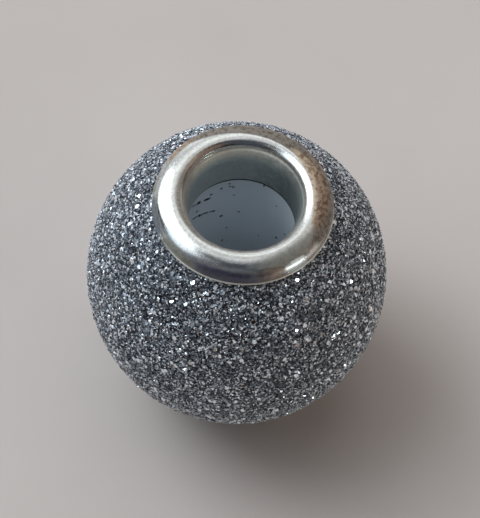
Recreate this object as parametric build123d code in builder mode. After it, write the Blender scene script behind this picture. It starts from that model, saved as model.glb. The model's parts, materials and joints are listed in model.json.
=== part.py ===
"""European charm bead: a drilled resin ball with a glitter coat and two pressed metal grommets.

Millimetres. The origin is the centre of the bead and +Z is the bore's axis.
"""
import math
import os

from build123d import *

os.makedirs("parts", exist_ok=True)

# Ball and coat
ball_diameter = 14.0         # over the coat, square to the bore
ball_half_height = 7.31      # of the coat's full curve, before its ends are cut flat
land_setback = 0.09          # how far each flat end stops inside the lip's foot
coat_thickness = 0.30        # glitter and binder
coat_gap = 0.02              # between the ball and its coat

# Hole and shank
hole_diameter = 4.90         # clear way through both shanks
sheet_thickness = 0.20
shank_length = 1.70          # below the funnel
shank_clearance = 0.08       # between the shank and the ball's own bore

# Mouth, from the shank up to the lip
funnel_flare = 0.19          # how far the funnel widens on each side
funnel_depth = 0.56
funnel_bend = 0.8            # radius where the funnel turns into the shank
step_width = 0.11            # flat ledge between the funnel and the lip
step_drop = 0.235            # how far the ledge lies below the lip's inner slope
mouth_rounding = 0.10        # radius where the ledge turns into the funnel
corner_rounding = 0.03       # radius of the step's two corners

# Lip, from the inner slope over the crest to the foot
inner_run = 0.047            # level reach of the short slope above the step
inner_roll = 0.55            # radius of the section from that slope over to the crest
inner_turn = math.radians(37)   # tilt of that slope
dome_radius = 1.10           # radius of the section from the crest outwards
dome_turn = math.radians(46)    # from the crest to the edge roll
edge_roll = 0.35             # radius of the section where the dome turns down
rim_wall = 0.29              # upright wall below the edge
foot_width = 0.06            # fine foot that stands out round the lip's cut edge
foot_thickness = 0.08
seat_gap = 0.06              # between the foot and the land

# Radii that follow, from the bore outwards
hole_radius = hole_diameter / 2
shank_radius = hole_radius + sheet_thickness
bore_radius = shank_radius + shank_clearance
mouth_radius = hole_radius + funnel_flare
step_radius = mouth_radius + step_width
crest_radius = step_radius + inner_run + inner_roll * math.sin(inner_turn)
hidden_step_radius = crest_radius - (inner_roll - sheet_thickness) * math.sin(inner_turn)
dome_reach = (dome_radius - edge_roll) * math.sin(dome_turn)
edge_radius = crest_radius + dome_reach + edge_roll
foot_radius = edge_radius + foot_width
foot_root_radius = edge_radius - sheet_thickness / 2
land_radius = foot_radius - land_setback

# Heights that follow, from the land up to the crest and down into the bore
land_height = ball_half_height * math.sqrt(1 - (2 * land_radius / ball_diameter)**2)
foot_bottom = land_height + seat_gap
edge_height = foot_bottom + rim_wall
dome_height = edge_height - (dome_radius - edge_roll) * math.cos(dome_turn)
crest_height = dome_height + dome_radius
slope_top = crest_height - inner_roll * (1 - math.cos(inner_turn))
slope_foot = slope_top - inner_run * math.tan(inner_turn)
hidden_step_top = slope_top - sheet_thickness * math.cos(inner_turn)
step_height = slope_foot - step_drop
funnel_foot = step_height - funnel_depth
shank_end = funnel_foot - shank_length


def ball_section(inset, mode=Mode.ADD):
    """Draws the ball's full section, an ellipse that lies a given inset inside the coat."""
    Ellipse(ball_diameter / 2 - inset, ball_half_height - inset, mode=mode)


def keep_between_lands(inner_radius):
    """Keeps the half of a section that lies outside a radius and between the flat ends."""
    with Locations((inner_radius, 0)):
        Rectangle(
            ball_diameter,
            2 * land_height,
            align=(Align.MIN, Align.CENTER),
            mode=Mode.INTERSECT,
        )


def lip_arcs(inset):
    """Draws the lip's edge, dome and inner roll, a given inset below the seen side."""
    CenterArc(
        (edge_radius - edge_roll, edge_height),
        radius=edge_roll - inset,
        start_angle=0,
        arc_size=90 - math.degrees(dome_turn),
    )
    CenterArc(
        (crest_radius, dome_height),
        radius=dome_radius - inset,
        start_angle=90 - math.degrees(dome_turn),
        arc_size=math.degrees(dome_turn),
    )
    CenterArc(
        (crest_radius, crest_height - inner_roll),
        radius=inner_roll - inset,
        start_angle=90,
        arc_size=math.degrees(inner_turn),
    )


# Resin ball, drilled through, with the bore's two mouths eased for the funnels
with BuildPart() as resin_ball:
    with BuildSketch(Plane.XZ) as ball_profile:
        ball_section(coat_thickness + coat_gap)
        keep_between_lands(bore_radius)
        bore_mouths = ball_profile.vertices().group_by(Axis.X)[0]
        chamfer(bore_mouths, length=funnel_flare)
    revolve(axis=Axis.Z)
resin_ball.part.label = "resin_ball"

# Glitter coat: a band round the ball, open at both lands
with BuildPart() as glitter_coat:
    with BuildSketch(Plane.XZ):
        ball_section(0)
        ball_section(coat_thickness, mode=Mode.SUBTRACT)
        keep_between_lands(0)
    revolve(axis=Axis.Z)
glitter_coat.part.label = "glitter_coat"

# Grommet: one sheet that runs up the rim, over the crest, down the inner slope and step to the shank's end
with BuildPart() as upper_grommet:
    with BuildSketch(Plane.XZ):
        with BuildLine():
            lip_arcs(0)
            FilletPolyline(
                (step_radius + inner_run, slope_top),
                (step_radius, slope_foot),
                (step_radius, step_height),
                (mouth_radius, step_height),
                (hole_radius, funnel_foot),
                (hole_radius, shank_end),
                radius=(corner_rounding, corner_rounding, mouth_rounding, funnel_bend),
            )
            Polyline(
                (hole_radius, shank_end),
                (shank_radius, shank_end),
                (shank_radius, funnel_foot),
                (hidden_step_radius, step_height - sheet_thickness),
                (hidden_step_radius, hidden_step_top),
            )
            lip_arcs(sheet_thickness)
            Polyline(
                (edge_radius - sheet_thickness, edge_height),
                (edge_radius - sheet_thickness, foot_bottom),
                (edge_radius, foot_bottom),
                (edge_radius, edge_height),
            )
        make_face()
        with Locations((foot_radius, foot_bottom)):
            Rectangle(
                foot_radius - foot_root_radius,
                foot_thickness,
                align=(Align.MAX, Align.MIN),
            )
    revolve(axis=Axis.Z)
upper_grommet.part.label = "upper_grommet"

# The other grommet is the same piece, turned over
with BuildPart() as lower_grommet:
    mirror(upper_grommet.part, about=Plane.XY)
lower_grommet.part.label = "lower_grommet"

for piece in (resin_ball, glitter_coat, upper_grommet, lower_grommet):
    export_step(piece.part, f"parts/{piece.part.label}.step")
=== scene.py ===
"""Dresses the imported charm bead: glitter coat, plated grommets, the film in the bore, and a plain studio.

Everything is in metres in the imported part's own frame: the origin is the bead's centre and +Z is the
bore's axis.
"""
from __future__ import annotations

import json
import logging
import math
from dataclasses import asdict, dataclass
from enum import Enum
from typing import Any

import bpy
from mathutils import Matrix, Vector


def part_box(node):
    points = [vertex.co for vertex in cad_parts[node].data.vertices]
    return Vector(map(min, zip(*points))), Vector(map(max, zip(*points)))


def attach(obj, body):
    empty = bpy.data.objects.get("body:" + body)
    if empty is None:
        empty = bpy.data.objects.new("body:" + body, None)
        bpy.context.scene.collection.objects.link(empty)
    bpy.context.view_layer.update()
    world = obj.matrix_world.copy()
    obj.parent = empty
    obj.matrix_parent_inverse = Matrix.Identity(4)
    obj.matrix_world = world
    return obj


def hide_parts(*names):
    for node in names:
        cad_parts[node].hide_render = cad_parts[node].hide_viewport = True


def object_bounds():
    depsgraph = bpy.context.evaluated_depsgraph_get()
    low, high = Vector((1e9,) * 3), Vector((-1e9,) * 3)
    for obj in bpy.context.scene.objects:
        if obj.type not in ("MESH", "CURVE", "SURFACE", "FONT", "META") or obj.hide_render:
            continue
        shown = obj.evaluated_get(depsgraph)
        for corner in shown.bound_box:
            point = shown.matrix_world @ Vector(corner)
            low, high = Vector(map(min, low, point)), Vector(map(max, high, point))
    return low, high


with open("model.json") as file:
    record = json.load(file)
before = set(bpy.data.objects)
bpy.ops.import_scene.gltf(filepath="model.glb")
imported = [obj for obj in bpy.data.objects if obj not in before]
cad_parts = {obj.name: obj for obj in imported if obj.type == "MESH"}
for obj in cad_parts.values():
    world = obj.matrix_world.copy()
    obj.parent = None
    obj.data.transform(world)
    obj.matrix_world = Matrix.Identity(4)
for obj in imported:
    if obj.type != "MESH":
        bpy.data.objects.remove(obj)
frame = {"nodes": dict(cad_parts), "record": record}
cad_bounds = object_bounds()

MM = 0.001
WELD_DISTANCE = 0.0005 * MM
SHARP_ANGLE = math.radians(40)
UPWARD = 0.9  # how far a face's normal must rise for the face to look up
WHITE = (1.0, 1.0, 1.0, 1.0)
LOG = logging.getLogger("charm_bead")

Colour = tuple[float, float, float]
Paint = tuple[float, float, float, float]
Station = tuple[float, float]
Span = tuple[float, float]
Piece = bpy.types.Object
Socket = bpy.types.NodeSocket
Tree = bpy.types.NodeTree


class End(Enum):
    """Which end of the bore a piece stands at."""

    UPPER = 1
    LOWER = -1


class FlakeShape(Enum):
    """The outline of a glitter flake, by its number of sides."""

    HEXAGON = 6
    LOZENGE = 4
    SHARD = 3


def linear(red: int, green: int, blue: int) -> Paint:
    """Turns a colour as seen on a screen into the linear light that the shaders take.

    Args:
        red: Red, from 0 to 255.
        green: Green, from 0 to 255.
        blue: Blue, from 0 to 255.

    Returns:
        The linear colour with full alpha.
    """
    def channel(value: int) -> float:
        """Returns one channel in linear light."""
        share = value / 255
        return share / 12.92 if share <= 0.04045 else ((share + 0.055) / 1.055) ** 2.4

    return channel(red), channel(green), channel(blue), 1.0


def heading(azimuth: float, elevation: float) -> Vector:
    """Points from the bead to a place round it.

    Args:
        azimuth: Degrees from the far side (+Y) towards the right (+X).
        elevation: Degrees above the horizon.

    Returns:
        A vector of length one.
    """
    turn, rise = math.radians(azimuth), math.radians(elevation)
    return Vector((math.sin(turn) * math.cos(rise), math.cos(turn) * math.cos(rise), math.sin(rise)))


def choose(piece: Piece) -> None:
    """Makes one piece the only selected and the active object, as adding one does by itself."""
    bpy.ops.object.select_all(action="DESELECT")
    piece.select_set(True)
    bpy.context.view_layer.objects.active = piece


def added(name: str) -> Piece:
    """Names the mesh object that the last operator added, and returns it."""
    piece = bpy.context.active_object
    piece.name = piece.data.name = name
    return piece


def apply_modifier(piece: Piece, kind: str, **settings: Any) -> None:
    """Adds a modifier to a piece, sets it and applies it.

    Args:
        piece: The mesh object.
        kind: The modifier's type.
        settings: Values for the modifier's own fields.
    """
    choose(piece)
    modifier = piece.modifiers.new(kind.lower(), kind)
    for name, value in settings.items():
        setattr(modifier, name, value)
    bpy.ops.object.modifier_apply(modifier=modifier.name)


def dress(piece: Piece, material: bpy.types.Material) -> None:
    """Gives a whole piece one material, in place of any it had."""
    slots = piece.data.materials
    slots.clear()
    slots.append(material)
    for face in piece.data.polygons:
        face.material_index = 0


def lathe(name: str, outline: list[Station], segments: int) -> Piece:
    """Turns a closed section round the Z axis, ring by ring, as a spinner draws out a sheet.

    Args:
        name: The new object's name.
        outline: The section's corners as (radius, height), in order round it.
        segments: How many steps go round.

    Returns:
        The closed, smooth-shaded mesh object.
    """
    radius, height = outline[0]
    bpy.ops.mesh.primitive_circle_add(vertices=segments, radius=radius)
    piece = added(name)
    bpy.ops.object.mode_set(mode="EDIT")
    bpy.ops.mesh.select_all(action="SELECT")
    bpy.ops.transform.translate(value=(0, 0, height))
    for next_radius, next_height in outline[1:] + outline[:1]:
        bpy.ops.mesh.extrude_region_move(TRANSFORM_OT_translate={"value": (0, 0, next_height - height)})
        scale = next_radius / radius
        bpy.ops.transform.resize(value=(scale, scale, 1))
        radius, height = next_radius, next_height
    bpy.ops.mesh.select_all(action="SELECT")
    bpy.ops.mesh.remove_doubles(threshold=WELD_DISTANCE)
    bpy.ops.mesh.normals_make_consistent(inside=False)
    bpy.ops.mesh.select_all(action="DESELECT")
    bpy.ops.object.mode_set(mode="OBJECT")
    bpy.ops.object.shade_smooth_by_angle(angle=SHARP_ANGLE)
    return piece


class Graph:
    """Adds and links nodes in one node tree."""

    def __init__(self, tree: Tree) -> None:
        """Starts with an empty tree."""
        self.tree = tree
        tree.nodes.clear()

    def node(self, kind: str, values: dict[Any, Any] | None = None, **settings: Any) -> bpy.types.Node:
        """Adds a node.

        Args:
            kind: The node's type.
            values: What goes into its inputs, by name or index: a number, a colour or an output.
            settings: Values for the node's own fields.

        Returns:
            The new node.
        """
        node = self.tree.nodes.new(kind)
        for name, value in settings.items():
            setattr(node, name, value)
        self.fill(node, values or {})
        return node

    def plug(self, value: Any, socket: Socket) -> None:
        """Links an output to a socket, or writes a plain value on it."""
        if isinstance(value, Socket):
            self.tree.links.new(value, socket)
        else:
            socket.default_value = value

    def fill(self, node: bpy.types.Node, values: dict[Any, Any]) -> None:
        """Links or sets several of a node's inputs, by name or index."""
        for key, value in values.items():
            self.plug(value, node.inputs[key])

    def math(self, operation: str, *values: Any) -> Socket:
        """Adds a Math node and returns its result."""
        return self.node("ShaderNodeMath", dict(enumerate(values)), operation=operation).outputs[0]

    def times(self, first: Any, second: Any) -> Socket:
        """Multiplies two numbers."""
        return self.math("MULTIPLY", first, second)

    def vector(self, operation: str, *values: Any) -> bpy.types.Node:
        """Adds a Vector Math node."""
        return self.node("ShaderNodeVectorMath", dict(enumerate(values)), operation=operation)

    def combine(self, x: Any = 0.0, y: Any = 0.0, z: Any = 0.0) -> Socket:
        """Joins three numbers into a vector."""
        return self.node("ShaderNodeCombineXYZ", {"X": x, "Y": y, "Z": z}).outputs[0]

    def length(self, x: Any, y: Any) -> Socket:
        """Returns how far a place on a plane lies from its origin."""
        return self.vector("LENGTH", self.combine(x, y)).outputs["Value"]

    def point(self) -> Socket:
        """Returns the shaded point's place on its object, in metres."""
        return self.node("ShaderNodeTexCoord").outputs["Object"]

    def smooth(
        self, value: Any, low: Any, high: Any, start: float = 0.0, end: float = 1.0
    ) -> Socket:
        """Maps a value from one range to another with a soft start and end, and returns it."""
        node = self.node(
            "ShaderNodeMapRange",
            {"Value": value, "From Min": low, "From Max": high, "To Min": start, "To Max": end},
            interpolation_type="SMOOTHSTEP",
        )
        return node.outputs[0]

    def blend(self, factor: Any, first: Any, second: Any, kind: str = "MIX") -> Socket:
        """Mixes two colours and returns the result."""
        node = self.node("ShaderNodeMix", data_type="RGBA", blend_type=kind)
        self.plug(factor, node.inputs[0])
        self.plug(first, node.inputs[6])
        self.plug(second, node.inputs[7])
        return node.outputs[2]

    def noise(
        self, vector: Any, scale: Any, detail: float, roughness: float, seed: Any = None,
        distortion: float = 0.0
    ) -> Socket:
        """Adds a Noise texture, four-dimensional where it has a seed, and returns its grey value."""
        values = {"Vector": vector, "Scale": scale, "Detail": detail, "Roughness": roughness}
        values["Distortion"] = distortion
        if seed is None:
            return self.node("ShaderNodeTexNoise", values).outputs[0]
        values["W"] = seed
        return self.node("ShaderNodeTexNoise", values, noise_dimensions="4D").outputs[0]

    def random(self, seed: int, low: Any = 0.0, high: Any = 1.0) -> Socket:
        """Draws a seeded random number, or a random vector between two vectors."""
        if isinstance(low, tuple):
            first, kind, output = 0, "FLOAT_VECTOR", 0
        else:
            first, kind, output = 2, "FLOAT", 1
        values = {first: low, first + 1: high, "Seed": seed}
        return self.node("FunctionNodeRandomValue", values, data_type=kind).outputs[output]

    def bump(self, height: Any, strength: float, distance: float) -> Socket:
        """Adds a Bump node and returns the bent normal."""
        values = {"Height": height, "Strength": strength, "Distance": distance}
        return self.node("ShaderNodeBump", values).outputs[0]

    def ramp(self, value: Any, stops: list[tuple[float, tuple]]) -> Socket:
        """Adds a colour ramp, whose stops go from left to right, and returns its colour."""
        node = self.node("ShaderNodeValToRGB", {0: value})
        elements = node.color_ramp.elements
        elements[0].position, elements[0].color = stops[0]
        elements[1].position, elements[1].color = stops[-1]
        for position, colour in stops[1:-1]:
            elements.new(position).color = colour
        return node.outputs[0]

    def group(self, tree: Tree, **values: float) -> bpy.types.NodeOutputs:
        """Places a shared group, where half_turn sets its input Half Turn, and returns its outputs."""
        node = self.node("ShaderNodeGroup", node_tree=tree)
        self.fill(node, {name.replace("_", " ").title(): value for name, value in values.items()})
        return node.outputs

    def mask(self, tree: Tree, **values: float) -> Socket:
        """Places a shared group that gives one value, and returns that value."""
        return self.group(tree, **values)[0]


def shared_group(name: str, inputs: dict[str, float], outputs: list[str]) -> tuple[Graph, Any, Any]:
    """Starts a shader node group with named number inputs and outputs.

    Args:
        name: The group's name.
        inputs: Input names with their first values.
        outputs: Output names.

    Returns:
        The graph to fill, the values that the group is given and the sockets that it gives out.
    """
    tree = bpy.data.node_groups.new(name, "ShaderNodeTree")
    for label, value in inputs.items():
        socket = tree.interface.new_socket(label, in_out="INPUT", socket_type="NodeSocketFloat")
        socket.default_value = value
    for label in outputs:
        tree.interface.new_socket(label, in_out="OUTPUT", socket_type="NodeSocketFloat")
    graph = Graph(tree)
    return graph, graph.node("NodeGroupInput").outputs, graph.node("NodeGroupOutput").inputs


class Effects:
    """The shader groups that finishes share or place many times. Lengths in them are in mm."""

    grain_turn = 0.06  # mm for each degree, the true length 3.44 mm from the axis
    grain_scale = 9.0  # noise cells per mm, as in the crack and stain grains
    crack_grain = 11.0
    crack_wander = 0.42
    stain_grain = 2.6

    def __init__(self) -> None:
        """Builds every group once."""
        self.place = self._place()
        self.blotches = self._blotches()
        self.grain = self._grain()
        self.mark = self._mark()
        self.stain = self._stain()

    def _place(self) -> Tree:
        """Gives a point's place round the bore: turn in degrees from +Y to +X, radius and height in mm."""
        graph, _, out = shared_group("place_round_the_bore", {}, ["Turn", "Radius", "Height"])
        parts = graph.node("ShaderNodeSeparateXYZ", {0: graph.point()}).outputs
        turn = graph.math("ARCTAN2", parts["X"], parts["Y"])
        graph.plug(graph.math("DEGREES", turn), out["Turn"])
        graph.plug(graph.math("DIVIDE", graph.length(parts["X"], parts["Y"]), MM), out["Radius"])
        graph.plug(graph.math("DIVIDE", parts["Z"], MM), out["Height"])
        return graph.tree

    def _blotches(self) -> Tree:
        """Gives uneven patches: a mask of cloudy spots of a chosen size, cover and softness."""
        graph, given, out = shared_group(
            "blotches", {"Size": 1.0, "Cover": 0.5, "Softness": 0.1, "Seed": 0.0}, ["Mask"]
        )
        scale = graph.math("DIVIDE", 1.0 / MM, given["Size"])
        cloud = graph.noise(graph.point(), scale, 5.0, 0.6, given["Seed"], distortion=0.4)
        edge = graph.math("SUBTRACT", 1.0, given["Cover"])
        low = graph.math("SUBTRACT", edge, given["Softness"])
        high = graph.math("ADD", edge, given["Softness"])
        graph.plug(graph.smooth(cloud, low, high), out["Mask"])
        return graph.tree

    def _grain(self) -> Tree:
        """Gives the plating's fine even grain, laid out round the bore, as a height from 0 to 1."""
        graph, _, out = shared_group("plating_grain", {}, ["Height"])
        place = graph.group(self.place)
        along = graph.times(place["Turn"], self.grain_turn)
        point = graph.combine(along, place["Radius"], place["Height"])
        graph.plug(graph.noise(point, self.grain_scale, 6.0, 0.65), out["Height"])
        return graph.tree

    def _mark(self) -> Tree:
        """Gives one ragged spot or short crack on a bore wall, as a mask."""
        graph, given, out = shared_group(
            "wall_mark",
            {"Turn": 0.0, "Height": 0.0, "Half Length": 0.05, "Half Width": 0.05, "Lean": 0.0,
             "Wall Radius": 2.73},
            ["Mask"],
        )
        place = graph.group(self.place)
        ragged = graph.noise(graph.point(), self.crack_grain / MM, 3.0, 0.65)
        wander = graph.times(graph.math("SUBTRACT", ragged, 0.5), self.crack_wander)
        turn = graph.math("RADIANS", graph.math("SUBTRACT", place["Turn"], given["Turn"]))
        across = graph.times(turn, given["Wall Radius"])
        rise = graph.math("SUBTRACT", place["Height"], given["Height"])
        lean = graph.math("RADIANS", given["Lean"])
        cosine, sine = graph.math("COSINE", lean), graph.math("SINE", lean)
        along = graph.math("ADD", graph.times(across, cosine), graph.times(rise, sine))
        aside = graph.math("SUBTRACT", graph.times(rise, cosine), graph.times(across, sine))
        aside = graph.math("ADD", aside, wander)
        long_share = graph.math("DIVIDE", along, given["Half Length"])
        wide_share = graph.math("DIVIDE", aside, given["Half Width"])
        reach = graph.length(long_share, wide_share)
        graph.plug(graph.smooth(reach, 0.75, 1.15, 1.0, 0.0), out["Mask"])
        return graph.tree

    def _stain(self) -> Tree:
        """Gives one ragged patch on a grommet, for a stain or for painted shade, as a mask. Its place is a
        turn and a radius.
        """
        graph, given, out = shared_group(
            "lip_stain",
            {"Turn": 0.0, "Radius": 3.6, "Half Turn": 20.0, "Half Width": 0.3, "Softness": 0.35,
             "Ragged": 1.1, "Seed": 0.0},
            ["Mask"],
        )
        place = graph.group(self.place)
        turn = graph.math("SUBTRACT", place["Turn"], given["Turn"])
        turn = graph.math("WRAP", turn, 180.0, -180.0)
        aside = graph.math("SUBTRACT", place["Radius"], given["Radius"])
        turn_share = graph.math("DIVIDE", turn, given["Half Turn"])
        aside_share = graph.math("DIVIDE", aside, given["Half Width"])
        ragged = graph.noise(graph.point(), self.stain_grain / MM, 5.0, 0.7, given["Seed"])
        wander = graph.times(graph.math("SUBTRACT", ragged, 0.5), given["Ragged"])
        reach = graph.math("ADD", graph.length(turn_share, aside_share), wander)
        low = graph.math("SUBTRACT", 1.0, given["Softness"])
        high = graph.math("ADD", 1.0, given["Softness"])
        graph.plug(graph.smooth(reach, low, high, 1.0, 0.0), out["Mask"])
        return graph.tree


def new_material(name: str) -> tuple[bpy.types.Material, Graph, bpy.types.Node]:
    """Starts a material with a Principled shader.

    Args:
        name: The material's name.

    Returns:
        The material, its graph and the shader node, which is already linked to the surface.
    """
    material = bpy.data.materials.new(name)
    material.use_nodes = True
    graph = Graph(material.node_tree)
    shader = graph.node("ShaderNodeBsdfPrincipled")
    graph.node("ShaderNodeOutputMaterial", {"Surface": shader.outputs[0]})
    return material, graph, shader


@dataclass(frozen=True)
class WallMark:
    """A spot or crack in the film: its turn, height and half sizes in degrees and mm, and its lean."""

    turn: float
    height: float
    half_length: float
    half_width: float
    lean: float = 0.0


@dataclass(frozen=True)
class BoreFilm:
    """The thin blue-grey film on the ball's bore, chipped to the dark resin in places."""

    effects: Effects
    wall_radius: float = 2.73
    film_dark: Paint = linear(240, 247, 254)
    film_light: Paint = linear(246, 251, 255)
    grain_tint: Paint = linear(212, 223, 231)
    grain_share: float = 0.12
    resin: Paint = linear(9, 10, 12)
    film_roughness: float = 0.42
    resin_roughness: float = 0.85
    marks: tuple[WallMark, ...] = (
        WallMark(-53.6, 1.90, 0.24, 0.047, -26),
        WallMark(-46.0, 1.74, 0.18, 0.074, -24),
        WallMark(-38.5, 1.60, 0.23, 0.054, -21),
        WallMark(-31.4, 1.47, 0.19, 0.054, -20),
        WallMark(-55.6, 3.11, 0.19, 0.047, -26),
        WallMark(-48.6, 2.96, 0.17, 0.088, -30),
        WallMark(-38.2, 2.79, 0.21, 0.081, -21),
        WallMark(-21.2, 0.77, 0.10, 0.075),
        WallMark(-3.8, 1.03, 0.07, 0.055),
        WallMark(-50.2, 2.30, 0.09, 0.065),
        WallMark(-33.8, 3.05, 0.07, 0.060),
        WallMark(-23.1, 3.25, 0.07, 0.050),
        WallMark(-15.1, 3.56, 0.06, 0.045),
        WallMark(-13.4, 3.30, 0.13, 0.035, -6),
        WallMark(-11.0, 3.20, 0.09, 0.030, 62),
        WallMark(-9.8, 2.52, 0.06, 0.050),
        WallMark(34.3, 2.61, 0.04, 0.040),
        WallMark(18.4, -0.76, 0.05, 0.045),
        WallMark(38.8, -0.03, 0.08, 0.060),
        WallMark(49.7, 0.95, 0.07, 0.050),
        WallMark(18.7, 3.75, 0.05, 0.060),
        WallMark(-14.5, -0.40, 0.07, 0.050),
        WallMark(-18.1, -1.53, 0.04, 0.040),
    )

    def material(self) -> bpy.types.Material:
        """Returns the film's material."""
        material, graph, shader = new_material("bore_film")
        effects = self.effects
        cloud = graph.mask(effects.blotches, size=2.6, cover=0.5, softness=0.3)
        grain = graph.mask(effects.blotches, size=0.12, cover=0.5, softness=0.25, seed=3.0)
        film = graph.blend(cloud, self.film_dark, self.film_light)
        film = graph.blend(graph.times(grain, self.grain_share), film, self.grain_tint)
        chips: Any = 0.0
        for mark in self.marks:
            spot = graph.mask(effects.mark, **asdict(mark), wall_radius=self.wall_radius)
            chips = graph.math("MAXIMUM", chips, spot)
        rough = graph.smooth(chips, 0.0, 1.0, self.film_roughness, self.resin_roughness)
        height = graph.math("SUBTRACT", 1.0, chips)
        graph.fill(shader, {
            "Base Color": graph.blend(chips, film, self.resin),
            "Roughness": rough,
            "Normal": graph.bump(height, 0.6, 0.02 * MM),
            "Specular IOR Level": 0.35,
        })
        return material


@dataclass(frozen=True)
class Tarnish:
    """The look of one kind of tarnish, which some patches of painted shade borrow too: its own colour and
    the colour of the small spots in it.
    """

    colour: Paint
    spots: Paint


TAUPE = Tarnish(linear(142, 132, 120), linear(92, 78, 66))
TAN = Tarnish(linear(214, 188, 160), linear(136, 108, 84))
BROWN = Tarnish(linear(160, 134, 112), linear(94, 72, 56))
COPPER = Tarnish(linear(178, 148, 122), linear(128, 98, 76))
# Partly tarnish, partly a painted dark reflection of the camera's side on the near rim.
PLUM_TARNISH_AND_PAINTED_REFLECTION = Tarnish(linear(58, 58, 84), linear(38, 38, 60))
OLIVE = Tarnish(linear(140, 140, 128), linear(110, 110, 98))
SLATE = Tarnish(linear(90, 100, 108), linear(60, 68, 78))
UMBER = Tarnish(linear(88, 76, 68), linear(70, 58, 50))


@dataclass(frozen=True)
class LipStain:
    """A stain on a lip, or a patch of painted shade or painted dark reflection laid the same way: its place
    and half sizes in degrees and mm, its kind, strength and edge.
    """

    turn: float
    radius: float
    half_turn: float
    half_width: float
    tarnish: Tarnish
    strength: float
    softness: float = 0.25
    ragged: float = 1.1

    def mask(self, graph: Graph, shape: Tree, seed: float) -> Socket:
        """Places the stain in a material and returns its mask, as strong as the stain is."""
        cover = graph.mask(
            shape, turn=self.turn, radius=self.radius, half_turn=self.half_turn,
            half_width=self.half_width, softness=self.softness, ragged=self.ragged, seed=seed
        )
        return graph.times(cover, self.strength)


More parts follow.
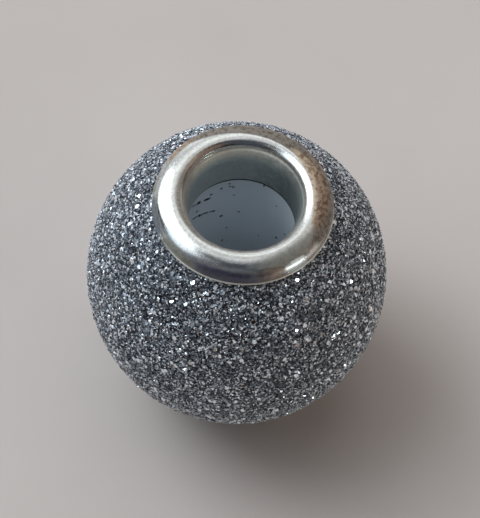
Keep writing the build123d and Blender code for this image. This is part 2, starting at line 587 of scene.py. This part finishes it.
@dataclass(frozen=True)
class PlatedBrass:
    """Silver-plated brass: finely grained and bright on the lip, dull in the bore, tarnished in places,
    with painted shade and painted dark reflections in the bore and round its mouth.

    Each pair of radii or heights, in mm, is where a soft change starts and ends.
    """

    effects: Effects
    silver_dark: Paint = linear(214, 213, 208)
    silver_light: Paint = linear(234, 234, 230)
    foot_tint: Paint = linear(252, 246, 234)
    foot_cover: float = 0.85
    mouth_tint: Paint = linear(246, 240, 226)
    tube_tint: Paint = linear(196, 205, 204)
    # Painted shade: the colour that the bore's right and left sides are blended towards.
    tube_shade: Paint = linear(104, 108, 106)
    worn_tint: Paint = linear(176, 178, 172)
    cut_tint: Paint = linear(34, 36, 38)
    # Painted shadow: the dark line at the shank's end, standing in for the shadow in the gap behind it.
    pit_tint: Paint = linear(120, 112, 100)
    scuff_tint: Paint = linear(246, 253, 251)
    clean_roughness: float = 0.085
    foot_radii: Span = (4.015, 4.035)
    bore_radii: Span = (2.725, 2.745)
    mouth_heights: Span = (6.00, 6.50)
    # Heights of the painted shadow line at the shank's end.
    cut_heights: Span = (4.36, 4.42)
    stains: tuple[LipStain, ...] = (
        LipStain(34.0, 3.79, 80.0, 0.595, UMBER, 0.85, 0.08, 0.15),
        LipStain(38.0, 3.80, 84.0, 0.55, TAUPE, 0.95, 0.08, 0.15),
        LipStain(74.0, 3.34, 38.0, 0.27, TAN, 0.85, 0.12, 0.40),
        LipStain(88.0, 3.52, 26.0, 0.28, BROWN, 0.80),
        LipStain(60.0, 3.74, 16.0, 0.16, BROWN, 0.60),
        LipStain(-53.0, 3.82, 14.0, 0.16, COPPER, 0.90),
        LipStain(140.0, 3.56, 26.0, 0.34, OLIVE, 0.70, 0.45, 0.7),
        LipStain(158.0, 3.94, 9.0, 0.20, COPPER, 0.75, 0.40),
        # Near rim: a plum tint over a painted dark reflection.
        LipStain(-172.0, 3.98, 30.0, 0.24, PLUM_TARNISH_AND_PAINTED_REFLECTION, 0.95, 0.55, 0.6),
        LipStain(-136.0, 4.00, 15.0, 0.13, OLIVE, 0.85),
        LipStain(-106.0, 4.00, 15.0, 0.12, SLATE, 0.85),
        LipStain(-82.0, 4.00, 9.0, 0.12, TAUPE, 0.70),
        LipStain(90.0, 4.02, 40.0, 0.10, TAUPE, 0.15),
        # The last three are painted shade and painted dark reflection: they darken the inner slope and step
        # round the bore at the near side, the right and the left.
        LipStain(180.0, 2.84, 75.0, 0.10, TAUPE, 0.70, 0.40, 0.5),
        LipStain(90.0, 2.76, 65.0, 0.05, TAUPE, 0.80, 0.30, 0.5),
        LipStain(-100.0, 2.92, 36.0, 0.13, TAUPE, 0.50, 0.40),
    )

    def _stained(self, graph: Graph, colour: Any, spots: Any) -> tuple[Any, Any]:
        """Lays every stain, and the painted shade and painted dark reflections among them, over the
        plating.

        Args:
            graph: The material's graph.
            colour: The plating's colour.
            spots: A mask of small spots.

        Returns:
            The stained colour and a mask of all stains and painted patches.
        """
        shape = self.effects.stain
        cover: Any = 0.0
        for number, stain in enumerate(self.stains):
            mask = stain.mask(graph, shape, float(number))
            mottled = graph.blend(spots, stain.tarnish.colour, stain.tarnish.spots)
            colour = graph.blend(mask, colour, mottled)
            cover = graph.math("MAXIMUM", cover, mask)
        near = graph.mask(
            shape, turn=158.0, radius=4.03, half_turn=68.0, half_width=1.0, softness=0.2, ragged=0.3
        )
        foot = graph.smooth(graph.group(self.effects.place)["Radius"], *self.foot_radii)
        foot = graph.times(foot, near)
        cover = graph.blend(foot, cover, (self.foot_cover,) * 3 + (1.0,))
        return graph.blend(foot, colour, self.foot_tint), cover

    def _bore_colour(self, graph: Graph, fine: Any, mouth: Any, height: Any) -> Socket:
        """Mixes the dull plating in the bore: worn, with painted shade darkening its right and left sides,
        and a painted shadow line at the shank's end.

        Args:
            graph: The material's graph.
            fine: A mask of fine mottling.
            mouth: How far up the mouth a point lies, from 0 to 1.
            height: The distance from the bead's middle in mm.

        Returns:
            The colour.
        """
        shape = self.effects.stain
        worn = graph.blend(graph.times(fine, 0.22), WHITE, self.worn_tint)
        # Lighter up towards the opening and darker deep in the bore: partly the plating's own tone, partly
        # painted shade deep in the bore.
        tint = graph.blend(mouth, self.tube_tint, self.mouth_tint)
        colour = graph.blend(1.0, tint, worn, "MULTIPLY")
        # Painted shade: darkens the tube and ledge on the right side, and the ledge and tube on the left
        # side less.
        right = graph.mask(shape, turn=92.0, radius=2.5, half_turn=64.0, half_width=0.8, softness=0.5)
        left = graph.mask(shape, turn=-98.0, radius=2.7, half_turn=42.0, half_width=0.2, softness=0.5)
        shade = graph.math("MAXIMUM", graph.times(right, 0.92), graph.times(left, 0.60))
        colour = graph.blend(shade, colour, self.tube_shade)
        # Painted shadow: a dark band on the far side of the shank's end stands in for the shadow in the gap
        # there.
        cut = graph.mask(shape, turn=22.0, radius=2.45, half_turn=62.0, half_width=0.2, softness=0.3)
        cut = graph.times(cut, graph.smooth(height, *self.cut_heights, 1.0, 0.0))
        return graph.blend(cut, colour, self.cut_tint)

    def material(self) -> bpy.types.Material:
        """Returns the plating's material."""
        material, graph, shader = new_material("plated_brass")
        effects = self.effects
        place = graph.group(effects.place)
        grain = graph.mask(effects.grain)
        fine = graph.mask(effects.blotches, size=0.16, cover=0.50, softness=0.20, seed=5.0)
        spots = graph.mask(effects.blotches, size=0.20, cover=0.47, softness=0.10, seed=7.0)
        pits = graph.mask(effects.blotches, size=0.07, cover=0.36, softness=0.05, seed=9.0)
        colour, cover = self._stained(graph, graph.blend(fine, self.silver_dark, self.silver_light), spots)
        dull = graph.smooth(place["Radius"], *self.bore_radii, 1.0, 0.0)
        height = graph.math("ABSOLUTE", place["Height"])
        mouth = graph.smooth(height, *self.mouth_heights)
        colour = graph.blend(dull, colour, self._bore_colour(graph, fine, mouth, height))
        colour = graph.blend(graph.times(pits, 0.18), colour, self.pit_tint)
        scuff = graph.mask(
            effects.stain, turn=139.0, radius=3.94, half_turn=8.0, half_width=0.14, softness=0.7,
            ragged=1.2, seed=31.0
        )
        broken = graph.times(graph.math("SUBTRACT", fine, grain), 0.45)
        scuff = graph.smooth(graph.math("ADD", scuff, broken), 0.30, 0.75)
        dull_film = graph.times(dull, graph.math("MULTIPLY_ADD", mouth, 0.35, 0.50))
        film = graph.math("MAXIMUM", graph.times(cover, 0.75), dull_film)
        rough: Any = self.clean_roughness
        for layer, share in ((grain, 0.10), (cover, 0.26), (pits, 0.08), (dull, 0.34), (scuff, 0.17)):
            rough = graph.math("MULTIPLY_ADD", layer, share, rough)
        relief = graph.math("ADD", graph.times(grain, 0.6), graph.times(fine, 0.3))
        relief = graph.math("SUBTRACT", relief, graph.times(pits, 0.40))
        graph.fill(shader, {
            "Base Color": graph.blend(scuff, colour, self.scuff_tint),
            "Metallic": graph.math("SUBTRACT", 1.0, film),
            "Roughness": rough,
            "Normal": graph.bump(relief, 0.35, 0.012 * MM),
        })
        return material


@dataclass(frozen=True)
class GlitterBinder:
    """The clear binder and the finest grains in it, which lie between the flakes."""

    effects: Effects
    grain_size: float = 0.085
    darkest: Paint = linear(14, 16, 20)
    middle: Paint = linear(46, 51, 60)
    lightest: Paint = linear(148, 155, 166)

    def material(self) -> bpy.types.Material:
        """Returns the binder's material."""
        material, graph, shader = new_material("glitter_binder")
        scale = 1.0 / (self.grain_size * MM)
        cells = graph.node("ShaderNodeTexVoronoi", {"Vector": graph.point(), "Scale": scale}).outputs
        grain = graph.node("ShaderNodeSeparateColor", {0: cells["Color"]}).outputs
        tones = [(0.0, self.darkest), (0.55, self.middle), (1.0, self.lightest)]
        height = graph.math("MULTIPLY_ADD", grain[1], 0.6, graph.math("SUBTRACT", 1.0, cells["Distance"]))
        graph.fill(shader, {
            "Base Color": graph.ramp(grain[0], tones),
            "Roughness": graph.smooth(grain[1], 0.0, 1.0, 0.30, 0.60),
            "Metallic": graph.smooth(grain[2], 0.5, 0.7, 0.1, 0.8),
            "Normal": graph.bump(height, 0.9, 0.04 * MM),
        })
        return material


@dataclass(frozen=True)
class GlitterFoil:
    """Metallised flakes under a clear skin: most are dull, some pearly white, a few small mirrors."""

    name: str
    darkest: Paint
    middle: Paint
    lightest: Paint
    pearl: Paint = linear(240, 247, 253)
    pearl_share: float = 0.13
    mirror_share: float = 0.04
    dull_metal: float = 0.6
    mirror_roughness: float = 0.07

    def material(self) -> bpy.types.Material:
        """Returns the flakes' material."""
        material, graph, shader = new_material(self.name)
        tone = graph.node("ShaderNodeAttribute", attribute_name="tone").outputs["Fac"]

        def draw(factor: float) -> Socket:
            """Gives each flake one more even random number, worked out from its tone."""
            return graph.math("FRACT", graph.times(tone, factor))

        pearl = graph.math("LESS_THAN", draw(31.0), self.pearl_share)
        mirror = graph.math("LESS_THAN", draw(57.0), self.mirror_share)
        colour = graph.ramp(tone, [(0.0, self.darkest), (0.5, self.middle), (1.0, self.lightest)])
        white = graph.math("MAXIMUM", pearl, mirror)
        rough = graph.smooth(draw(17.0), 0.0, 1.0, 0.26, 0.52)
        metal = graph.math("MULTIPLY_ADD", pearl, -0.35, self.dull_metal)
        graph.fill(shader, {
            "Base Color": graph.blend(white, colour, self.pearl),
            "Roughness": graph.blend(mirror, rough, (self.mirror_roughness,) * 3 + (1.0,)),
            "Metallic": graph.math("MAXIMUM", metal, mirror),
        })
        return material


@dataclass
class Grommet:
    """A drawn sheet grommet: foot, rim, domed lip, inner slope, fine step, funnel and shank."""

    end: End
    finish: PlatedBrass
    sheet: float = 0.20 * MM
    funnel_flare: float = 0.19 * MM
    funnel_depth: float = 0.56 * MM
    funnel_bend: float = 0.8 * MM
    step_drop: float = 0.235 * MM
    mouth_rounding: float = 0.10 * MM
    corner_rounding: float = 0.03 * MM
    inner_run: float = 0.047 * MM
    inner_roll: float = 0.55 * MM
    inner_turn: float = math.radians(37)
    dome_radius: float = 1.10 * MM
    dome_turn: float = math.radians(46)
    edge_roll: float = 0.35 * MM
    rim_wall: float = 0.29 * MM
    foot_width: float = 0.06 * MM
    foot_thickness: float = 0.08 * MM
    foot_ease: float = 0.02 * MM
    wide_steps: int = 12
    tight_steps: int = 5
    segments: int = 176

    @property
    def node(self) -> str:
        """The CAD node that this grommet stands for."""
        return f"{self.end.name.lower()}_grommet"

    @staticmethod
    def _arc(centre: Station, radius: float, start: float, stop: float, steps: int) -> list[Station]:
        """Lays corners along an arc.

        Args:
            centre: The arc's centre.
            radius: The arc's radius.
            start: The first angle in radians, from straight up towards the outside.
            stop: The last angle.
            steps: How many steps the arc takes.

        Returns:
            The arc's corners as (radius, height), both ends included.
        """
        (across, up), span = centre, stop - start
        angles = [start + span * step / steps for step in range(steps + 1)]
        return [(across + radius * math.sin(angle), up + radius * math.cos(angle)) for angle in angles]

    def outline(self) -> list[Station]:
        """Works out the sheet's closed section, seen side first, for the upper end.

        Returns:
            The section's corners as (radius, height).
        """
        low, high = (Vector(corner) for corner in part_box("upper_grommet"))
        hole = frame["record"]["mounts"][0]["dims"]["r_mm"] * MM
        foot, crest, shank_end = high.x, high.z, low.z
        edge = foot - self.foot_width
        rim_centre = edge - self.edge_roll
        crest_radius = rim_centre - (self.dome_radius - self.edge_roll) * math.sin(self.dome_turn)
        dome_height = crest - self.dome_radius
        rim_height = dome_height + (self.dome_radius - self.edge_roll) * math.cos(self.dome_turn)
        foot_bottom = rim_height - self.rim_wall
        foot_top = foot_bottom + self.foot_thickness
        slope_top = crest - self.inner_roll * (1 - math.cos(self.inner_turn))
        step_radius = crest_radius - self.inner_roll * math.sin(self.inner_turn) - self.inner_run
        slope_foot = slope_top - self.inner_run * math.tan(self.inner_turn)
        step_height = slope_foot - self.step_drop
        funnel_foot = step_height - self.funnel_depth
        upright, level = -math.pi / 2, 0.0
        slope = upright + math.atan2(self.funnel_flare, self.funnel_depth)
        bend_drop = self.funnel_bend * math.tan((slope - upright) / 2)
        mouth_reach = self.mouth_rounding * math.tan((level - slope) / 2)
        brink_drop = self.corner_rounding * math.tan((-self.inner_turn - upright) / 2)
        bend_centre = (hole + self.funnel_bend, funnel_foot - bend_drop)
        mouth_centre = (hole + self.funnel_flare + mouth_reach, step_height - self.mouth_rounding)
        crease_centre = (step_radius - self.corner_rounding, step_height + self.corner_rounding)
        brink_centre = (step_radius + self.corner_rounding, slope_foot - brink_drop)
        inner_centre = (crest_radius, crest - self.inner_roll)
        dome_centre, edge_centre = (crest_radius, dome_height), (rim_centre, rim_height)

        def lip(inset: float, steps: int) -> list[Station]:
            """Returns the lip from its inner slope to the rim, an inset below its seen side."""
            return (
                self._arc(inner_centre, self.inner_roll - inset, -self.inner_turn, level, steps)
                + self._arc(dome_centre, self.dome_radius - inset, level, self.dome_turn, steps)
                + self._arc(edge_centre, self.edge_roll - inset, self.dome_turn, -upright, steps)
            )

        wide, tight = self.wide_steps, self.tight_steps
        seen = [(hole, shank_end)] + self._arc(bend_centre, self.funnel_bend, upright, slope, wide)
        seen += self._arc(mouth_centre, self.mouth_rounding, slope, level, tight)
        seen += self._arc(crease_centre, self.corner_rounding, math.pi, -upright, tight)
        seen += self._arc(brink_centre, self.corner_rounding, upright, -self.inner_turn, tight)
        seen += lip(0.0, wide)
        seen += [(edge, foot_top), (foot - self.foot_ease, foot_top), (foot, foot_top - self.foot_ease)]
        seen += [(foot, foot_bottom + self.foot_ease), (foot - self.foot_ease, foot_bottom)]
        hidden = [(edge - self.sheet, foot_bottom)] + lip(self.sheet, tight)[::-1]
        hidden += [(hidden[-1][0], step_height - self.sheet)]
        hidden += [(hole + self.sheet, funnel_foot), (hole + self.sheet, shank_end)]
        return seen + hidden

    def build(self) -> Piece:
        """Makes, places and dresses the grommet.

        Returns:
            The finished mesh object.
        """
        outline = [(radius, self.end.value * height) for radius, height in self.outline()]
        piece = lathe(f"{self.node}_sheet", outline, self.segments)
        dress(piece, self.finish.material())
        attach(piece, "root")
        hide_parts(self.node)
        return piece


@dataclass(frozen=True)
class FlakeLayer:
    """One scattering of flakes of one shape. Its seed and the next four drive every random draw."""

    name: str
    shape: FlakeShape
    foil: GlitterFoil
    count: int
    across: float
    tilt: float
    seed: int
    thickness: float = 0.02 * MM
    rise: float = 0.03 * MM


@dataclass(frozen=True)
class GlitterCoat:
    """The coat of glitter: a lumpy ground and several scatterings of real flakes set in it."""

    effects: Effects
    layers: list[FlakeLayer]
    pole_height: float = 7.31 * MM
    depth: float = 0.30 * MM
    ground_sink: float = 0.05 * MM
    lump_size: float = 0.45 * MM
    lump_height: float = 0.07 * MM
    ground_segments: tuple[int, int] = (192, 96)
    scatter_faces: tuple[int, int] = (224, 70)
    face_share: float = 0.86
    lozenge_stretch: Span = (1.15, 0.80)
    flake_scale: Span = (0.62, 1.15)

    def _extent(self) -> tuple[float, float, float]:
        """Returns the ground's reach across the bore, its pole's height and where it is cut off."""
        reach, _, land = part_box("glitter_coat")[1]
        sink = self.ground_sink
        return reach - sink, self.pole_height - sink, land - 0.5 * sink

    def _add_lumps(self, piece: Piece) -> None:
        """Raises the coat's soft lumps on one of its surfaces."""
        lumps = bpy.data.textures.new("coat_lumps", "CLOUDS")
        lumps.noise_scale = self.lump_size
        lumps.noise_depth = 2
        apply_modifier(
            piece, "DISPLACE", texture=lumps, strength=self.lump_height, mid_level=0.5,
            texture_coords="LOCAL"
        )

    def _ground(self) -> Piece:
        """Makes the closed ground shell: a sphere cut off at both lands, lumped and thickened."""
        reach, pole, cut = self._extent()
        around, up = self.ground_segments
        bpy.ops.mesh.primitive_uv_sphere_add(segments=around, ring_count=up, radius=1.0)
        piece = added("glitter_ground")
        bpy.ops.object.mode_set(mode="EDIT")
        bpy.ops.mesh.select_all(action="SELECT")
        bpy.ops.transform.resize(value=(reach, reach, pole))
        for side in (1, -1):
            bpy.ops.mesh.select_all(action="SELECT")
            bpy.ops.mesh.bisect(
                plane_co=(0, 0, side * cut), plane_no=(0, 0, side), clear_outer=True,
                threshold=0.0001 * MM
            )
        bpy.ops.object.mode_set(mode="OBJECT")
        self._add_lumps(piece)
        apply_modifier(piece, "SOLIDIFY", thickness=self.depth - 2 * self.ground_sink, offset=-1.0)
        bpy.ops.object.shade_smooth()
        dress(piece, GlitterBinder(self.effects).material())
        return piece

    def _scatter_surface(self, name: str) -> Piece:
        """Makes the ground's outer surface again from a wrapped grid, to scatter flakes on.

        A sphere's faces come in another order on each run, and a scattering follows that order. A
        grid's faces always come in the same order, so the flakes fall in the same places.

        Args:
            name: The new object's name.

        Returns:
            The open surface, which meets itself along one seam.
        """
        reach, pole, cut = self._extent()
        around, up = self.scatter_faces
        land_tilt = math.asin(cut / pole)
        bpy.ops.mesh.primitive_grid_add(x_subdivisions=around, y_subdivisions=up, size=2.0)
        piece = added(name)
        for vertex in piece.data.vertices:
            turn, tilt = math.pi * vertex.co.x, land_tilt * vertex.co.y
            level = reach * math.cos(tilt)
            vertex.co = (level * math.cos(turn), level * math.sin(turn), pole * math.sin(tilt))
        self._add_lumps(piece)
        return piece

    def _flake(self, layer: FlakeLayer) -> Piece:
        """Models one flake: a thin plate whose seen face is a little smaller than its back."""
        bpy.ops.mesh.primitive_cylinder_add(
            vertices=layer.shape.value, radius=layer.across / 2, depth=layer.thickness
        )
        flake = added(f"{layer.name}_pattern")
        bpy.ops.object.mode_set(mode="EDIT")
        bpy.ops.mesh.select_all(action="DESELECT")
        bpy.ops.object.mode_set(mode="OBJECT")
        for face in flake.data.polygons:
            face.select = face.normal.z > UPWARD
        bpy.ops.object.mode_set(mode="EDIT")
        bpy.ops.mesh.select_mode(type="FACE")
        bpy.ops.transform.resize(value=(self.face_share, self.face_share, 1))
        if layer.shape is FlakeShape.LOZENGE:
            bpy.ops.mesh.select_all(action="SELECT")
            bpy.ops.transform.resize(value=(*self.lozenge_stretch, 1))
        bpy.ops.object.mode_set(mode="OBJECT")
        return flake

    def _scatter_tree(self, layer: FlakeLayer, flake: Piece, area: float) -> Tree:
        """Builds the node tree that sets a layer's flakes on a surface.

        Args:
            layer: What is scattered.
            flake: The flake to repeat.
            area: The surface's area in square metres.

        Returns:
            The geometry node tree, which puts out the flakes alone.
        """
        tree = bpy.data.node_groups.new(f"scatter_{layer.name}", "GeometryNodeTree")
        for side in ("INPUT", "OUTPUT"):
            tree.interface.new_socket("Geometry", in_out=side, socket_type="NodeSocketGeometry")
        graph = Graph(tree)
        surface = graph.node("NodeGroupInput").outputs[0]
        points = graph.node(
            "GeometryNodeDistributePointsOnFaces",
            {"Mesh": surface, "Density": layer.count / area, "Seed": layer.seed},
        ).outputs
        pattern = graph.node("GeometryNodeObjectInfo", {"Object": flake, "As Instance": True})
        tilt, rise = layer.tilt, layer.rise
        turn = graph.random(layer.seed + 1, (-tilt, -tilt, 0.0), (tilt, tilt, 2 * math.pi))
        turned = graph.node("FunctionNodeEulerToRotation", {0: turn})
        stance = graph.node(
            "FunctionNodeRotateRotation", {0: points["Rotation"], 1: turned.outputs[0]},
            rotation_space="LOCAL"
        )
        size = graph.random(layer.seed + 2, *self.flake_scale)
        copies = graph.node(
            "GeometryNodeInstanceOnPoints",
            {"Points": points["Points"], "Instance": pattern.outputs["Geometry"],
             "Rotation": stance.outputs[0], "Scale": size},
        )
        lift = graph.random(layer.seed + 3, (0.0, 0.0, -rise), (0.0, 0.0, rise))
        lifted = graph.node(
            "GeometryNodeTranslateInstances",
            {"Instances": copies.outputs[0], "Translation": lift, "Local Space": True},
        )
        named = graph.node(
            "GeometryNodeStoreNamedAttribute",
            {"Geometry": lifted.outputs[0], "Name": "tone", "Value": graph.random(layer.seed + 4)},
            domain="INSTANCE",
            data_type="FLOAT",
        )
        whole = graph.node("GeometryNodeRealizeInstances", {"Geometry": named.outputs[0]})
        graph.node("NodeGroupOutput", {0: whole.outputs[0]})
        return tree

    def _flakes(self, layer: FlakeLayer) -> Piece:
        """Scatters one layer of flakes over the coat, as one mesh object."""
        flake = self._flake(layer)
        piece = self._scatter_surface(layer.name)
        area = sum(face.area for face in piece.data.polygons)
        tree = self._scatter_tree(layer, flake, area)
        apply_modifier(piece, "NODES", node_group=tree)
        bpy.data.objects.remove(flake)
        dress(piece, layer.foil.material())
        return piece

    def build(self) -> None:
        """Makes, places and dresses the ground and every layer of flakes."""
        for piece in [self._ground()] + [self._flakes(layer) for layer in self.layers]:
            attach(piece, "root")
            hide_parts("glitter_coat")
            LOG.info("%s has %d faces", piece.name, len(piece.data.polygons))


@dataclass(frozen=True)
class SkyPatch:
    """A soft round patch of light in the surroundings: its direction in degrees and its light."""

    azimuth: float
    elevation: float
    glow: Colour
    half_width: float = 6.0
    softness: float = 24.0


@dataclass
class Studio:
    """The plain floor, the soft surroundings and the camera."""

    effects: Effects
    image_width: int = 480
    camera_distance: float = 110 * MM
    camera_elevation: float = 60.30
    camera_roll: float = -5.42
    pixels_per_mm: float = 21.351
    centre_offset: Span = (-3.353, 13.783)
    sensor_width: float = 36.0
    clip_start: float = 5 * MM
    floor_reach: float = 0.6
    floor_dark: Paint = linear(217, 205, 198)
    floor_light: Paint = linear(223, 212, 205)
    floor_roughness: float = 0.6
    floor_shine: float = 0.2
    backdrop: Paint = linear(214, 208, 202)
    ambient: Colour = (0.014, 0.008, 0.006)
    sky: tuple[SkyPatch, ...] = (
        SkyPatch(-60, 35, (2.30, 2.50, 2.66), 15, 7),
        SkyPatch(-62, 52, (2.06, 2.28, 2.46), 12, 15),
        SkyPatch(-96, 46, (1.12, 1.28, 1.42), 10, 15),
        SkyPatch(-50, 8, (0.45, 0.50, 0.54), 5, 18),
        SkyPatch(-112, 10, (0.26, 0.34, 0.40)),
        SkyPatch(-16, 34, (0.62, 0.66, 0.68), 10, 26),
        SkyPatch(-8, 6, (0.56, 0.60, 0.62)),
        SkyPatch(40, 8, (0.50, 0.48, 0.46)),
        SkyPatch(90, 6, (0.60, 0.50, 0.44), 8, 14),
        SkyPatch(135, 6, (0.32, 0.25, 0.21), 8, 14),
        SkyPatch(-140, 6, (0.25, 0.21, 0.185), 8, 14),
        SkyPatch(10, 60, (0.56, 0.58, 0.59)),
        SkyPatch(55, 45, (0.24, 0.20, 0.17)),
        SkyPatch(0, 84, (0.37, 0.39, 0.42), 2, 15),
        SkyPatch(102, 48, (0.20, 0.15, 0.125), 8, 20),
        SkyPatch(-118, 62, (0.15, 0.16, 0.17), 6, 12),
        SkyPatch(180, 66, (0.052, 0.068, 0.088), 14, 14),
        SkyPatch(120, 6, (12.4, 13.6, 13.4), 3, 5),
    )

    def floor(self) -> None:
        """Lays a pale, very faintly mottled floor under the bead."""
        bpy.ops.mesh.primitive_plane_add(size=2 * self.floor_reach, location=(0, 0, cad_bounds[0][2]))
        floor = bpy.context.active_object
        floor.name = "floor"
        material, graph, shader = new_material("pale_floor")
        cloud = graph.mask(self.effects.blotches, size=14.0, cover=0.5, softness=0.35)
        graph.fill(shader, {
            "Base Color": graph.blend(cloud, self.floor_dark, self.floor_light),
            "Roughness": self.floor_roughness,
            "Specular IOR Level": self.floor_shine,
        })
        dress(floor, material)

    def surroundings(self) -> None:
        """Paints the soft light round the bead, and a plain pale backdrop for the camera itself."""
        world = bpy.data.worlds.new("studio")
        bpy.context.scene.world = world
        world.use_nodes = True
        graph = Graph(world.node_tree)
        way = graph.node("ShaderNodeTexCoord").outputs["Generated"]
        light: Any = self.ambient + (1.0,)
        for patch in self.sky:
            toward = graph.vector("DOT_PRODUCT", way, tuple(heading(patch.azimuth, patch.elevation)))
            outer = math.cos(math.radians(patch.half_width + patch.softness))
            inner = math.cos(math.radians(patch.half_width))
            share = graph.smooth(toward.outputs["Value"], outer, inner)
            light = graph.blend(share, light, patch.glow + (1.0,), "ADD")
        seen = graph.node("ShaderNodeBackground", {"Color": self.backdrop, "Strength": 1.0})
        lit = graph.node("ShaderNodeBackground", {"Color": light, "Strength": 1.0})
        camera_ray = graph.node("ShaderNodeLightPath").outputs["Is Camera Ray"]
        both = graph.node("ShaderNodeMixShader", {0: camera_ray, 1: lit.outputs[0], 2: seen.outputs[0]})
        graph.node("ShaderNodeOutputWorld", {"Surface": both.outputs[0]})
        bpy.context.scene.view_settings.view_transform = "Standard"

    def camera(self) -> None:
        """Sets the camera at the photo's viewing angle."""
        back = heading(180, self.camera_elevation)
        level = Vector((1, 0, 0))
        upright = back.cross(level)
        roll = math.radians(self.camera_roll)
        right = level * math.cos(roll) - upright * math.sin(roll)
        up = level * math.sin(roll) + upright * math.cos(roll)
        data = bpy.data.cameras.new("camera")
        camera = bpy.data.objects.new("camera", data)
        bpy.context.collection.objects.link(camera)
        turned = Matrix((right, up, back)).transposed().to_4x4()
        camera.matrix_world = Matrix.Translation(back * self.camera_distance) @ turned
        data.sensor_fit = "HORIZONTAL"
        data.sensor_width = self.sensor_width
        distance_mm = self.camera_distance / MM
        data.lens = self.sensor_width * self.pixels_per_mm * distance_mm / self.image_width
        data.shift_x = -self.centre_offset[0] / self.image_width
        data.shift_y = self.centre_offset[1] / self.image_width
        data.clip_start = self.clip_start
        bpy.context.scene.camera = camera

    def build(self) -> None:
        """Sets up camera, floor and light."""
        self.camera()
        self.floor()
        self.surroundings()


def dress_ball(effects: Effects) -> None:
    """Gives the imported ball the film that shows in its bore."""
    dress(frame["nodes"]["resin_ball"], BoreFilm(effects).material())


def main() -> None:
    """Builds and dresses the bead, piece by piece."""
    logging.basicConfig(level=logging.INFO, format="%(name)s: %(message)s")
    effects = Effects()
    Studio(effects).build()
    dress_ball(effects)
    LOG.info("ball dressed")
    plating = PlatedBrass(effects)
    for end in End:
        piece = Grommet(end, plating).build()
        LOG.info("%s has %d faces", piece.name, len(piece.data.polygons))
    silver = GlitterFoil("silver_flakes", linear(56, 60, 68), linear(180, 185, 194), linear(252, 253, 255))
    slate = GlitterFoil("slate_flakes", linear(28, 31, 38), linear(106, 111, 122), linear(212, 216, 222))
    spark = GlitterFoil(
        "spark_flakes", linear(222, 228, 236), linear(238, 242, 246), linear(250, 252, 254),
        pearl_share=0.0, mirror_share=1.0,
    )
    hexagon, lozenge, shard = FlakeShape.HEXAGON, FlakeShape.LOZENGE, FlakeShape.SHARD
    layers = [
        FlakeLayer("broad_flakes", hexagon, silver, 9600, 0.165 * MM, 0.65, 11),
        FlakeLayer("lozenge_flakes", lozenge, slate, 16000, 0.140 * MM, 0.70, 23),
        FlakeLayer("pale_shards", shard, silver, 24000, 0.130 * MM, 0.80, 37),
        FlakeLayer("dark_shards", shard, slate, 24000, 0.130 * MM, 0.80, 53),
        FlakeLayer("spark_flakes", hexagon, spark, 2800, 0.245 * MM, 0.42, 71),
    ]
    GlitterCoat(effects, layers).build()


if __name__ == "__main__":
    main()
